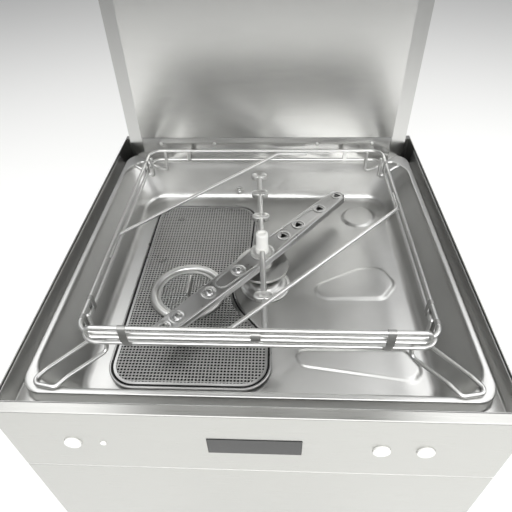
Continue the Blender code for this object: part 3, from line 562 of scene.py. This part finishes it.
filterSizes = {"wallRadius": 0.0576, "discRadius": 0.0520, "sheet": 0.0008, "beadMiddle": 0.0604, "beadHalf": 0.0066}


def roundFilter():
    low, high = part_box("round_filter")
    x, y = (low.x + high.x) / 2, (low.y + high.y) / 2
    radius = filterSizes["wallRadius"]
    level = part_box("filter_tray")[0].z + 0.0008
    columns = round(2 * math.pi * radius / perforation["pitch"])
    pitch = 2 * math.pi * radius / columns
    i, j = np.meshgrid(np.arange(columns), np.arange(int((level - low.z - 0.012) / pitch)), indexing="ij")
    centres = np.stack([i * pitch, low.z + 0.0078 + j * pitch], -1).reshape(-1, 2)
    flat, wedges, plates = perforatedFaces(centres, pitch, perforation["hole"])
    turn = flat[:, 0] / radius
    wall = np.stack([x + radius * np.cos(turn), y + radius * np.sin(turn), flat[:, 1]], -1)
    centres = gridCentres(-0.0610, -0.0610, 0.0610, 0.0610, perforation["pitch"])
    centres = centres[np.linalg.norm(centres, axis=1) < filterSizes["discRadius"]]
    flat, discWedges, discPlates = perforatedFaces(centres, perforation["pitch"], perforation["hole"])
    disc = np.column_stack([flat + (x, y), np.full(len(flat), level)])
    sheets = joinParts([mergedPoints(wall, [wedges, plates]), mergedPoints(disc, [discWedges, discPlates])])
    sheet = meshObject("roundMesh", *sheets, perforatedSteel, "round_filter", ("round_filter",))
    skin = sheet.modifiers.new("sheet", "SOLIDIFY")
    skin.thickness = filterSizes["sheet"]
    skin.offset = -1
    # half-round bead on top, a flat inside it, and the skirt below
    swing = np.linspace(0, math.pi, 15)
    bead = np.stack([filterSizes["beadMiddle"] + filterSizes["beadHalf"] * np.cos(swing),
                     level + 0.0018 + (high.z - level - 0.0020) * np.sin(swing)], -1)
    skirt = [(0.0582, level - 0.0060), (0.0582, level + 0.0016), (0.0670, level + 0.0016)]
    flatInside = [(0.0535, level + 0.0010), (0.0490, level + 0.0006), (0.0490, level - 0.0008),
                  (0.0560, level - 0.0008), (0.0572, level - 0.0020), (0.0572, level - 0.0060), skirt[0]]
    collar = np.concatenate([skirt, bead, flatInside])
    base = [(0.0560, low.z), (0.0582, low.z), (0.0582, low.z + 0.0050), (0.0572, low.z + 0.0050),
            (0.0568, low.z + 0.0012), (0.0560, low.z + 0.0012), (0.0560, low.z)]
    rings = [mergedPoints(points, faces[:1])
             for points, faces in (revolve(collar, (x, y), 128), revolve(base, (x, y), 96))]
    # the grip is a thin upright blade with a rolled top
    grip = [boxPart((x - 0.0009, y - 0.010, level - 0.0004), (x + 0.0009, y + 0.037, level + 0.0070), 0.0006)]
    grip.append(tube([(x, y - 0.0085, level + 0.0072), (x, y + 0.0355, level + 0.0072)], 0.0019, False, 14))
    meshObject("roundFilterRing", *joinParts(rings + grip), drawnSteel, "round_filter")


perforatedTray()
roundFilter()
print("filters made")


# rack support: rings, guard, diagonals, legs and straps

rackSizes = {"cornerRadius": 0.022, "strapWidth": 0.0105, "strapSheet": 0.0009}


def ringPath(half, z):
    corners = [(half, -half, z), (half, half, z), (-half, half, z), (-half, -half, z)]
    return roundedPath(corners, rackSizes["cornerRadius"], 14)


def strapBand(along, face, runsAlongX, width):
    # flat band bent round the upper and lower wire; the section is a thin rectangle on a path of two half circles
    reach = wireRadius + rackSizes["strapSheet"] / 2 + 0.00005
    turn = np.linspace(0, math.pi, 13)
    top = np.stack([reach * np.cos(turn), at(0) + reach * np.sin(turn)], -1)
    bottom = np.stack([-reach * np.cos(turn), at(-ringDrop) - reach * np.sin(turn)], -1)
    path = np.concatenate([top, bottom])
    out = path - np.concatenate([np.tile([0, at(0)], (13, 1)), np.tile([0, at(-ringDrop)], (13, 1))])
    out /= np.linalg.norm(out, axis=1)[:, None]
    half = rackSizes["strapSheet"] / 2
    section = [(-width / 2, -half), (width / 2, -half), (width / 2, half), (-width / 2, half)]
    rings = []
    for shift, lift in section:
        place = path + out * lift
        across = np.full(len(path), along + shift)
        outward = face + place[:, 0]
        rings.append(np.stack([*((across, outward) if runsAlongX else (outward, across)), place[:, 1]], -1))
    points = np.stack(rings, 1)
    faces = gridFaces(len(path), 4, True, True)
    return points.reshape(-1, 3), [faces if runsAlongX else faces[:, ::-1]]


def rackSupport():
    parts = [tube(ringPath(ringHalf, z), wireRadius, True) for z in (rackZ, at(-ringDrop))]
    meshObject("rackRings", *joinParts(parts), brightWire, "rack_support", ("rack_frame",), 60)
    guardLow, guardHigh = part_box("front_guard")
    y = (guardLow.y + guardHigh.y) / 2
    half = guardHigh.x - wireRadius
    lowZ, highZ = guardLow.z + wireRadius, guardHigh.z - wireRadius
    backStraps = [strapBand(x, ringHalf, True, 0.0075) for x in (-0.160, 0.165)]
    meshObject("rackBackStraps", *joinParts(backStraps), brightWire, "rack_support")
    straps = []
    for sign in (-1, 1):
        straps += [strapBand(place, sign * ringHalf, False, 0.0075) for place in (-0.214, -0.179, 0.190)]
    # front straps hook over the guard's top wire, run down its front and tuck under the lower ring
    reach = wireRadius + rackSizes["strapSheet"] / 2 + 0.0001
    over = arcPoints((y, highZ), reach, -20, 180, 12)
    under = arcPoints((-ringHalf, at(-ringDrop)), reach, 180, 330, 10)
    hook = np.concatenate([over, [(y - reach, lowZ - 0.0036)], under])
    for x in (-0.173, 0.172):
        path = np.column_stack([np.full(len(hook), x), hook])
        straps.append(ribbon(path, (1, 0, 0), rackSizes["strapWidth"], rackSizes["strapSheet"]))
    clip = arcPoints((y, (lowZ + highZ) / 2), reach, 90, 270, 10)
    clip[:, 1] = np.where(clip[:, 1] > (lowZ + highZ) / 2, clip[:, 1] + 0.0010, clip[:, 1] - 0.0062)
    straps.append(ribbon(np.column_stack([np.full(len(clip), 0.0), clip]), (1, 0, 0), 0.0128, 0.0009))
    meshObject("rackStraps", *joinParts(straps), strapSteel, "rack_support")
    guard = roundedPath([(-half, y, lowZ), (half, y, lowZ), (half, y, highZ), (-half, y, highZ)], 0.0085, 12)
    meshObject("frontGuard", *tube(guard, wireRadius, True), brightWire, "rack_support", ("front_guard",), 60)
    level = at(-0.0064)
    for side, corners in (
        ("left", [(-0.239, -0.082), (-0.239, -0.027), (0.027, 0.239), (0.086, 0.239)]),
        ("right", [(0.239, 0.096), (0.239, 0.050), (-0.050, -0.239), (-0.105, -0.239)]),
    ):
        path = roundedPath([(x, y, level) for x, y in corners], 0.014, 10, False)
        meshObject("diagonal" + side.title(), *tube(path, wireRadius), brightWire, "rack_support",
                   ("diagonal_wire_" + side,), 60)
    for end, signY in (("front", -1), ("rear", 1)):
        for side, signX in (("left", -1), ("right", 1)):
            inner = ringHalf - 0.0065
            tips = ((0.2555, 0.3030), (0.2900, 0.2970)) if end == "front" else ((0.268, 0.250), (0.284, 0.236))
            near, far, hook = (0.209, inner), (inner, 0.209), at(-0.0326)
            over = [[start[i] * 0.25 + tip[i] * 0.75 for i in (0, 1)]
                    for start, tip in ((near, tips[0]), (far, tips[1]))]
            corners = [(*near, at(-0.0005)), (*near, at(-0.046)), (*over[0], hook), (*tips[0], hook),
                       (*tips[1], hook), (*over[1], hook), (*far, at(-0.046)), (*far, at(-0.0005))]
            path = roundedPath([(signX * x, signY * y, z) for x, y, z in corners], 0.008, 8, False)
            meshObject("cornerLeg" + end.title() + side.title(), *tube(path, wireRadius), brightWire, "rack_support",
                       (f"corner_leg_{end}_{side}",), 60)


rackSupport()
print("rack support made")


# wash arms, rinse arms, cap nuts and pillar

armSizes = {
    "angle": 50.2,
    "rinseAngle": 93.2,
    "reach": 0.249,
    "midHalf": 0.0230,
    "tipRadius": 0.0182,
    "openSpots": (0.060, 0.104, 0.171, 0.232),
    "domeSpots": (-0.062, -0.131, -0.1995, -0.226),
    "hole": 0.0080,
    "clips": (0.0915, 0.1695, 0.2355, -0.1170, -0.2010),
    "tube": (-0.2030, 0.2375),
    "tubeRadius": 0.0050,
    "clipReach": 0.0122,
    "clipSwell": 0.0045,
    "sheet": 0.0008,
}


def armOutline(count):
    # upper half: round tip, straight taper to the middle, then its mirror image; sampled evenly along its length
    reach, tip, mid = armSizes["reach"], armSizes["tipRadius"], armSizes["midHalf"]
    right = arcPoints((reach - tip, 0), tip, 0, 88, 40)
    half = np.concatenate([right, [(0.040, mid), (-0.040, mid)], right[::-1] * (-1, 1)])
    gaps = np.concatenate([[0], np.cumsum(np.linalg.norm(np.diff(half, axis=0), axis=1))])
    places = (np.arange(count // 2) + 0.5) / (count // 2) * gaps[-1]
    upper = np.stack([np.interp(places, gaps, half[:, 0]), np.interp(places, gaps, half[:, 1])], -1)
    return np.concatenate([upper, upper[::-1] * (1, -1)])


def embossing(x, y):
    # a lip and a dish round each nozzle, and a wide teardrop line round the hub: each is a bump in the distance from
    # its own curve, and grows as that distance nears a set radius
    rise = np.zeros_like(x)
    for spot in armSizes["openSpots"] + armSizes["domeSpots"]:
        away = np.hypot(x - spot, y)
        rise = np.maximum(rise, 0.0007 * np.exp(-(((away - 0.0112) / 0.0013) ** 2)))
        rise = rise - 0.0018 * np.clip(1 - (away / 0.0104) ** 4, 0, 1)
    for sign, reach in ((1, 0.150), (-1, 0.100)):
        t = np.clip(sign * x / reach, 0, 1)
        distance = np.hypot(sign * x - reach * t, y) - (0.0190 - 0.0075 * t)
        rise = np.maximum(rise, 0.0004 * np.exp(-((distance / 0.0010) ** 2)) * (np.abs(x) > 0.022))
    return rise


def washArm(name, node, body, faceZ, flip, count, rows):
    # pressed arm: loops from the seam up the side, over the bend and in to the middle line; bends are quarter circles
    # the sheet is opened at the nozzle holes and made thick, so that the arm is hollow
    outline = armOutline(count)
    ahead = np.roll(outline, -1, 0) - np.roll(outline, 1, 0)
    ahead /= np.linalg.norm(ahead, axis=1)[:, None]
    outward = np.stack([ahead[:, 1], -ahead[:, 0]], -1)
    depth, bend = 0.0118, 0.0028
    side = [(-0.0042, -depth), (-0.0014, -depth), (-0.0002, -depth + 0.0007), (0.0, -depth + 0.0014),
            (-0.0003, -depth + 0.0022), (-0.0011, -depth + 0.0028), (-0.0012, -bend - 0.0010)]
    quarter = np.linspace(0, math.pi / 2, 7)
    side += [(-0.0012 - bend * (1 - math.cos(a)), -bend + bend * math.sin(a)) for a in quarter]
    rings = [np.column_stack([outline + outward * pull, np.full(count, z)]) for pull, z in side]
    edge = outline - outward * (0.0012 + bend)
    spineEnd = armSizes["reach"] - armSizes["tipRadius"]
    spine = np.column_stack([np.clip(outline[:, 0], -spineEnd, spineEnd), np.zeros(count)])
    t = np.linspace(0, 1, rows)[1:-1, None, None]
    inner = edge[None] * (1 - t * 0.985) + spine[None] * t * 0.985
    inner = np.concatenate([inner, (edge * 0.008 + spine * 0.992)[None]])
    # openings are three-cornered; points close to an edge are put on it
    x, y = inner[..., 0].copy(), inner[..., 1].copy()
    opened = np.zeros(x.shape, bool)
    for spot in armSizes["openSpots"]:
        dx, dy = x - spot, y.copy()
        away, turn = np.maximum(np.hypot(dx, dy), 1e-9), np.arctan2(dy, dx)
        third = np.abs((turn + math.pi) % (2 * math.pi / 3) - math.pi / 3)
        edgeAway = armSizes["hole"] * np.clip(0.56 / np.cos(third), 0, 0.92)
        near = np.abs(away - edgeAway) < 0.0005
        x = np.where(near, spot + dx / away * edgeAway, x)
        y = np.where(near, dy / away * edgeAway, y)
        opened |= away < edgeAway - 0.00049
    rise = embossing(x, y)
    for spot in armSizes["domeSpots"]:
        away = np.hypot(x - spot, y)
        rise = np.where(away < 0.0074, rise + 0.0042 * np.sqrt(np.clip(1 - (away / 0.0074) ** 2, 0, 1)), rise)
        rise = np.where(away < 0.0024, rise - 0.0034, rise)
    top = np.stack([x, y, rise], -1)
    lower = side[0][0]
    floorEdge = outline + outward * lower
    u = np.linspace(0, 1, 6)[1:, None, None]
    floor = floorEdge[None] * (1 - u * 0.992) + spine[None] * u * 0.992
    floorRows = np.concatenate([floor, np.full((*floor.shape[:2], 1), -depth)], -1)[::-1]
    points = np.concatenate([floorRows, np.array(rings), top])
    levels = len(points)
    faces = gridFaces(levels, count, False, True)
    topStart = len(floorRows) + len(rings)
    openFlags = np.zeros(points.shape[:2], bool)
    openFlags[topStart:] = opened
    faces = faces[~openFlags.reshape(-1)[faces].any(1)]
    k = np.arange(count // 2 - 1)
    lastRow = (levels - 1) * count
    seam = np.stack([k, k + 1, count - 2 - k, count - 1 - k], -1)
    seamTop = seam + lastRow
    seamTop = seamTop[~openFlags.reshape(-1)[seamTop].any(1)]
    points = points.reshape(-1, 3)
    if flip < 0:
        points = points * (1, 1, -1)
        faces, seam, seamTop = faces[:, ::-1], seam[:, ::-1], seamTop[:, ::-1]
    points = turned(points, math.radians(armSizes["angle"])) + (0, 0, faceZ)
    piece = meshObject(name, points, [faces, seamTop, seam[:, ::-1]], armSteel, body, (node,), 55)
    skin = piece.modifiers.new("sheet", "SOLIDIFY")
    skin.thickness = armSizes["sheet"]
    skin.offset = -1
    return piece


def armHub(name, body, faceZ, flip):
    # round plate on the arm's middle with a stepped rim, and four screws
    steps = softened([
        (0.0062, 0.0), (0.0215, 0.0), (0.0222, 0.0006), (0.0222, 0.0016), (0.0205, 0.0022), (0.0180, 0.0023),
        (0.0168, 0.0012), (0.0125, 0.0012), (0.0118, 0.0030), (0.0062, 0.0030), (0.0062, 0.0),
    ], 1)
    points, faces = revolve(steps, (0, 0), 72)
    parts = [mergedPoints(points, faces[:1])]
    for k in range(4):
        angle = math.radians(armSizes["angle"] + 45 + 90 * k)
        screw = [(0.0001, 0.0016), (0.0021, 0.0016), (0.0021, 0.0028), (0.0015, 0.0034), (0.0001, 0.0036)]
        parts.append(revolve(softened(screw, 1), (0.0192 * math.cos(angle), 0.0192 * math.sin(angle)), 18))
    points, faces = joinParts(parts)
    if flip < 0:
        points, faces = upsideDown(points, faces)
    meshObject(name, points + (0, 0, faceZ), faces, drawnSteel, body)


def rinseArm(name, node, body, z, flip):
    # drawn tube with pressed-on clips: each is a disc whose radius swells twice per turn, with a domed top
    angle = math.radians(armSizes["rinseAngle"])
    path = np.column_stack([np.linspace(*armSizes["tube"], 40), np.zeros(40), np.zeros(40)])
    parts = [tube(path, armSizes["tubeRadius"], False, 24)]
    # share of the clip's reach, and height
    section = softened([(0.02, -0.0052), (0.90, -0.0052), (1.0, -0.0042), (1.0, 0.0040), (0.92, 0.0052), (0.55, 0.0062),
                        (0.30, 0.0046), (0.02, 0.0042)], 1)
    turn = np.linspace(0, 2 * math.pi, 60, endpoint=False)
    lobes = armSizes["clipReach"] - armSizes["clipSwell"] * np.cos(2 * turn)
    for spot in armSizes["clips"]:
        rings = np.stack([np.stack([spot + lobes * r * np.cos(turn), lobes * r * np.sin(turn), np.full(60, h)], -1)
                          for r, h in section])
        parts.append((rings.reshape(-1, 3), ringGrid(len(section), 60)))
    points, faces = joinParts(parts)
    if flip < 0:
        points, faces = upsideDown(points, faces)
    meshObject(name, turned(points, angle) + (0, 0, z), faces, brightWire, body, (node,), 50)
    collar = softened([(0.0054, -0.0062), (0.0110, -0.0062), (0.0116, -0.0054), (0.0116, 0.0050), (0.0110, 0.0056),
                       (0.0054, 0.0056), (0.0054, -0.0062)], 1)
    points, faces = revolve(collar, (0, 0), 48)
    points, faces = mergedPoints(points, faces[:1])
    meshObject(name + "Collar", points + (0, 0, z), faces, whiteAcetal, body)


def capNut(name, node, body, flip):
    # domed acetal nut with an oval recess across its top
    low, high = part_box(node)
    radius, bore, height = 0.0108, 0.0056, high.z - low.z
    profile = softened([(bore, 0.0), (0.0118, 0.0), (radius, 0.0008), (radius, height - 0.0030),
                        (radius - 0.0008, height - 0.0008), (radius - 0.0030, height), (0.0074, height)], 2)
    sides = 64
    turn = np.linspace(0, 2 * math.pi, sides, endpoint=False)

    def ring(reach, z):
        return np.stack([reach * np.cos(turn), reach * np.sin(turn), np.full(sides, z)], -1)

    oval = 1 / np.sqrt((np.cos(turn) / 0.0066) ** 2 + (np.sin(turn) / 0.0042) ** 2)
    recess = ((1.06, height), (1.0, height - 0.0004), (0.98, height - 0.0045), (0.9, height - 0.0050),
              (0.04, height - 0.0050))
    rings = [ring(r, z) for r, z in profile[1:]] + [ring(oval * share, z) for share, z in recess]
    # the thread's bore opens at the other end
    boreTop = height - 0.0075
    rows = np.array([ring(0.0002, boreTop), ring(bore, boreTop), ring(bore, 0.0)] + rings)
    points, faces = rows.reshape(-1, 3), ringGrid(len(rows), sides)
    if flip < 0:
        points, faces = upsideDown(points, faces)
    base = low.z if flip > 0 else high.z
    meshObject(name, points + (0, 0, base), faces, whiteAcetal, body, (node,), 45)


def armPillar():
    # stacked turned steps: foot flange off to one side, neck, hub disc, bearing and threaded stud
    low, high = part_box("arm_pillar")
    floor = low.z
    foot = softened([
        (0.0001, floor), (0.0450, floor), (0.0450, floor + 0.0020), (0.0438, floor + 0.0030), (0.0395, floor + 0.0034),
        (0.0375, floor + 0.0056), (0.0290, floor + 0.0080), (0.0270, floor + 0.0120), (0.0230, at(-0.1080)),
        (0.0001, at(-0.1080)),
    ], 1)
    disc = softened([
        (0.0001, floor + 0.004), (0.0235, floor + 0.004), (0.0235, at(-0.1015)), (0.0250, at(-0.1010)),
        (0.0470, at(-0.1010)), (0.0480, at(-0.1002)), (0.0480, at(-0.0965)), (0.0470, at(-0.0952)),
        (0.0300, at(-0.0945)), (0.0200, at(-0.0942)), (0.0180, at(-0.0938)), (0.0180, at(-0.0835)),
        (0.0172, at(-0.0827)), (0.0060, at(-0.0826)), (0.0050, at(-0.0820)), (0.0050, high.z - 0.0006),
        (0.0044, high.z), (0.0001, high.z),
    ], 1)
    parts = [revolve(foot, (0.006, -0.028), 96), revolve(disc, (0, 0), 96)]
    meshObject("armPillar", *joinParts(parts), drawnSteel, "cabinet", ("arm_pillar",), 42)


washArm("lowerWashArm", "lower_wash_arm", "lower_wash_arm", at(-0.068), 1, 940, 28)
armHub("lowerArmHub", "lower_wash_arm", at(-0.068), 1)
rinseArm("lowerRinseArm", "lower_rinse_arm", "lower_rinse_arm", at(-0.0595), 1)
capNut("lowerCapNut", "lower_cap_nut", "lower_cap", 1)
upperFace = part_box("upper_wash_arm")[0].z + 0.0012
washArm("upperWashArm", "upper_wash_arm", "upper_wash_arm", upperFace, -1, 620, 18)
armHub("upperArmHub", "upper_wash_arm", upperFace, -1)
rinseArm("upperRinseArm", "upper_rinse_arm", "upper_rinse_arm", upperFace - 0.0085, -1)
capNut("upperCapNut", "upper_cap_nut", "upper_cap", -1)
armPillar()
print("arms made")


# probe low on the back wall

def tankProbe():
    # hexagon nut on the wall with a thin sensing pin
    low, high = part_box("tank_probe")
    x, z = (low.x + high.x) / 2, (low.z + high.z) / 2
    nut = [(0.0001, 0.0), (0.0084, 0.0), (0.0088, 0.0006), (0.0088, 0.0056), (0.0080, 0.0070), (0.0001, 0.0070)]
    pin = [(0.0001, 0.0060), (0.0052, 0.0060), (0.0050, 0.0085), (0.0036, 0.0108), (0.0018, 0.0118), (0.0001, 0.0120)]
    points, faces = joinParts([revolve(nut, (0, 0), 6), revolve(softened(pin, 1), (0, 0), 32)])
    placed = np.stack([points[:, 0] + x, high.y - points[:, 2], points[:, 1] + z], -1)
    meshObject("tankProbe", placed, faces, brightWire, "cabinet", ("tank_probe",), 40)


tankProbe()
print("probe made")


# finishes of the CAD nodes that are shown as they are

slotFinish = {
    "satin_stainless": brushedOuter, "drawn_stainless": drawnSteel, "bright_wire": brightWire,
    "perforated_stainless": perforatedSteel, "white_plastic": whiteAcetal, "black_plastic": blackNylon,
    "grey_plastic": greyAbs, "display_black": displayGlass, "hose_rubber": hoseRubber, "motor_paint": motorPaint,
    "board_green": boardGreen, "pump_plastic": blackNylon,
}
nodeFinish = {
    "rear_wall": polishedWall, "rinse_boiler": drawnSteel, "rack_frame": brightWire, "control_fascia": brushedAcross,
    "front_panel": brushedAcross, "hood_handle": brightWire, "hood": brushedOuter,
}


def finishNodes():
    for name, node in nodes.items():
        current = node.data.materials[0].name.split(".")[0] if node.data.materials else ""
        finish = nodeFinish.get(name) or slotFinish.get(current)
        if finish is None:
            for slot, made in slotFinish.items():
                if slot in current:
                    finish = made
        for index in range(len(node.material_slots)):
            node.material_slots[index].material = finish or brushedOuter


finishNodes()
print("finishes set")


# floor, light and camera

def studio():
    floorMesh = bpy.data.meshes.new("studioFloor")
    size = 12.0
    floorMesh.from_pydata([(-size, -size, 0), (size, -size, 0), (size, size, 0), (-size, size, 0)], [], [(0, 1, 2, 3)])
    floor = bpy.data.objects.new("studioFloor", floorMesh)
    bpy.context.scene.collection.objects.link(floor)
    floorMesh.materials.append(startMaterial("paleFloor", "#f4f4f2", 0.0, 0.7)[0])
    world = bpy.data.worlds.new("studioWorld")
    bpy.context.scene.world = world
    world.use_nodes = True
    background = world.node_tree.nodes["Background"]
    background.inputs["Color"].default_value = hexColor("#f6f7f9")
    background.inputs["Strength"].default_value = 0.34
    for name, place, target, size, power in (
        ("ceilingLight", (0.0, -0.2, 4.2), (0, -0.2, 0.0), (5.6, 5.6), 235),
        ("frontLight", (0.3, -3.0, 2.6), (0, 0.1, 0.80), (3.2, 1.6), 95),
        ("rightLight", (2.6, -0.4, 1.9), (0, 0, 0.85), (1.6, 1.4), 22),
    ):
        lamp = bpy.data.lights.new(name, "AREA")
        lamp.shape = "RECTANGLE"
        lamp.size, lamp.size_y = size
        lamp.energy = power
        light = bpy.data.objects.new(name, lamp)
        light.location = place
        light.rotation_euler = (Vector(target) - Vector(place)).to_track_quat("-Z", "Y").to_euler()
        bpy.context.scene.collection.objects.link(light)


def viewCamera():
    # the camera stands before the machine and looks down into the tank, with a slight roll
    yaw, pitch, roll = math.radians(-3.4576), math.radians(42.158), math.radians(-1.769)
    forward = Vector((math.sin(yaw) * math.cos(pitch), math.cos(yaw) * math.cos(pitch), -math.sin(pitch)))
    right = Vector((math.cos(yaw), -math.sin(yaw), 0))
    up = right.cross(forward)
    side = right * math.cos(roll) + up * math.sin(roll)
    head = up * math.cos(roll) - right * math.sin(roll)
    lens = bpy.data.cameras.new("viewCamera")
    lens.lens = 32.353
    lens.sensor_width = 36
    lens.clip_start = 0.02
    camera = bpy.data.objects.new("viewCamera", lens)
    camera.matrix_world = Matrix((
        (side.x, head.x, -forward.x, 0.02592),
        (side.y, head.y, -forward.y, -0.61518),
        (side.z, head.z, -forward.z, 1.33010),
        (0, 0, 0, 1),
    ))
    bpy.context.scene.collection.objects.link(camera)
    bpy.context.scene.camera = camera


studio()
viewCamera()
bpy.context.scene.view_settings.view_transform = "Standard"  # so that the pale floor comes out pale
print("studio made")
